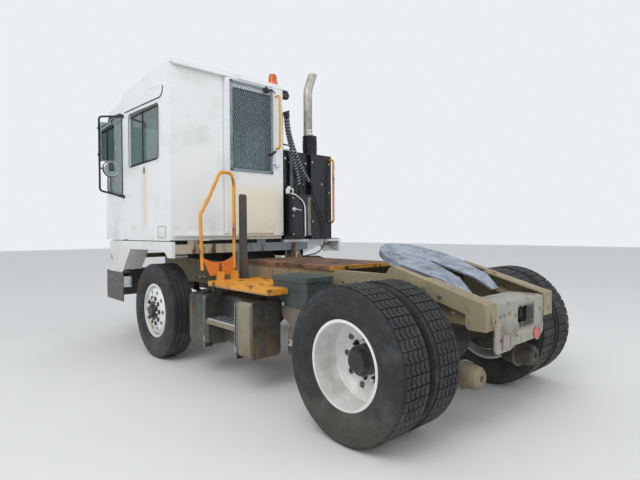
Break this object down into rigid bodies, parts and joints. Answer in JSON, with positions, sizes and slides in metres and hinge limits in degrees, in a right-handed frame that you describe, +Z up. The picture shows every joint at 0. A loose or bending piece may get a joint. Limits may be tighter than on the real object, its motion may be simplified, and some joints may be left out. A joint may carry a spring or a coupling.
{
  "type": "terminal tractor",
  "caption": "Worn white 4x2 terminal tractor with an offset single cab, sliding rear door, lifting fifth wheel, dual rear wheels and yellow hand rails",
  "frame": {"origin": "on the ground under the middle of the vehicle's bounding box", "axes": "x forward, y to the driver's left, z up"},
  "size_m": [5.186, 3, 3.4649],
  "materials": {
    "frame_paint": "worn tan over olive paint",
    "deck_steel": "rusty tread plate",
    "tail_steel": "scuffed grey paint",
    "lamp_lens": "clear red lens",
    "bumper_steel": "dull grey paint",
    "lamp_glass": "clear lens",
    "axle_iron": "black paint and road dirt",
    "spring_steel": "black paint and rust",
    "tank_steel": "dark paint, dusty",
    "yellow_paint": "chipped safety yellow",
    "green_paint": "faded green-grey",
    "engine_iron": "oily casting",
    "black_paint": "satin black",
    "white_paint": "aged white",
    "stainless": "dulled stainless",
    "tyre": "worn rubber",
    "rim_white": "white wheel paint",
    "chrome_rod": "polished rod",
    "worn_steel": "worn and greased plate",
    "window_glass": "green tint",
    "seat_fabric": "dark woven cloth",
    "dash_plastic": "moulded grey",
    "mirror_black": "black tube",
    "beacon_lens": "amber lens",
    "hose_rubber": "black air hose"
  },
  "bodies": {
    "root": {"frame_rail_left": "frame_paint", "frame_rail_right": "frame_paint", "crossmembers": "frame_paint", "deck_plate": "deck_steel", "tail_plate": "tail_steel", "tail_lamps": "lamp_lens", "bumper": "bumper_steel", "headlamps": "lamp_glass", "front_axle": "axle_iron", "leaf_springs": "spring_steel", "rear_axle": "axle_iron", "fuel_tank": "tank_steel", "side_step": "yellow_paint", "grab_hoop": "yellow_paint", "toolbox": "green_paint", "engine_block": "engine_iron", "radiator_grille": "black_paint", "skirt_left": "white_paint", "skirt_right": "white_paint", "engine_cowl": "white_paint", "stack_enclosure": "black_paint", "exhaust_stack": "stainless", "handrail_right": "yellow_paint", "cab_supports": "frame_paint", "air_line_left": "hose_rubber", "air_line_right": "hose_rubber", "air_line_deck": "hose_rubber"},
    "lid": {"toolbox_lid": "green_paint"},
    "knuckle_l": {"knuckle_left": "axle_iron"},
    "knuckle_r": {"knuckle_right": "axle_iron"},
    "steer_link": {"tie_rod": "axle_iron"},
    "wheel_front_left": {"tyre_front_left": "tyre", "rim_front_left": "rim_white"},
    "wheel_front_right": {"tyre_front_right": "tyre", "rim_front_right": "rim_white"},
    "wheels_rear_left": {"tyres_rear_left": "tyre", "rims_rear_left": "rim_white"},
    "wheels_rear_right": {"tyres_rear_right": "tyre", "rims_rear_right": "rim_white"},
    "boom": {"lift_boom": "frame_paint"},
    "barrels": {"lift_barrels": "black_paint"},
    "rods": {"lift_rods": "chrome_rod"},
    "coupler": {"fifth_wheel": "worn_steel"},
    "cab": {"cab_floor": "black_paint", "cab_left": "white_paint", "cab_right": "white_paint", "cab_front": "white_paint", "cab_rear": "white_paint", "cab_roof": "white_paint", "cab_glass": "window_glass", "seat": "seat_fabric", "dash": "dash_plastic", "mirror_left": "mirror_black", "mirror_right": "mirror_black", "roof_lamps": "beacon_lens"},
    "door": {"rear_door": "white_paint", "door_glass": "window_glass", "door_guard": "black_paint"}
  },
  "joints": [
    {"name": "steer_left", "type": "hinge", "parent": "root", "child": "knuckle_l", "pos_m": [0.983, 0.9, 0.52], "axis": [0, 0, 1], "range_deg": [-38, 38]},
    {"name": "steer_right", "type": "hinge", "parent": "root", "child": "knuckle_r", "pos_m": [0.983, -0.9, 0.52], "axis": [0, 0, 1], "range_deg": [-38, 38]},
    {"name": "tie_rod_swing", "type": "hinge", "parent": "knuckle_l", "child": "steer_link", "pos_m": [0.813, 0.9, 0.4], "axis": [0, 0, 1], "range_deg": [-38, 38]},
    {"name": "spin_front_left", "type": "hinge", "parent": "knuckle_l", "child": "wheel_front_left", "pos_m": [0.983, 1.099, 0.52], "axis": [0, 1, 0], "continuous": true},
    {"name": "spin_front_right", "type": "hinge", "parent": "knuckle_r", "child": "wheel_front_right", "pos_m": [0.983, -1.099, 0.52], "axis": [0, 1, 0], "continuous": true},
    {"name": "spin_rear_left", "type": "hinge", "parent": "root", "child": "wheels_rear_left", "pos_m": [-1.963, 0.917, 0.52], "axis": [0, 1, 0], "continuous": true},
    {"name": "spin_rear_right", "type": "hinge", "parent": "root", "child": "wheels_rear_right", "pos_m": [-1.963, -0.917, 0.52], "axis": [0, 1, 0], "continuous": true},
    {"name": "boom_lift", "type": "hinge", "parent": "root", "child": "boom", "pos_m": [-0.963, 0, 0.8], "axis": [0, 1, 0], "range_deg": [0, 28]},
    {"name": "barrel_swing", "type": "hinge", "parent": "root", "child": "barrels", "pos_m": [-1.343, 0, 0.6], "axis": [0, 1, 0], "range_deg": [0, 25.19]},
    {"name": "rod_slide", "type": "slide", "parent": "barrels", "child": "rods", "axis": [-0.5612, 0, 0.8277], "range_m": [0, 0.20661]},
    {"name": "coupler_tilt", "type": "hinge", "parent": "boom", "child": "coupler", "pos_m": [-1.81671, 0, 1.05904], "axis": [0, 1, 0], "range_deg": [0, 20]},
    {"name": "lid_hinge", "type": "hinge", "parent": "root", "child": "lid", "pos_m": [-0.937, 0.506, 0.974], "axis": [1, 0, 0], "range_deg": [0, 92]},
    {"name": "cab_tilt", "type": "hinge", "parent": "root", "child": "cab", "pos_m": [2.433, 0, 1.24], "axis": [0, 1, 0], "range_deg": [0, 45]},
    {"name": "door_slide", "type": "slide", "parent": "cab", "child": "door", "axis": [0, 1, 0], "range_m": [0, 0.59]}
  ],
  "couplings": [
    {"joint": "steer_right", "follows": "steer_left", "ratio": 1},
    {"joint": "tie_rod_swing", "follows": "steer_left", "ratio": -1},
    {"joint": "barrel_swing", "follows": "boom_lift", "ratio": 0.89979},
    {"joint": "rod_slide", "follows": "boom_lift", "m_per_rad": 0.42278}
  ]
}
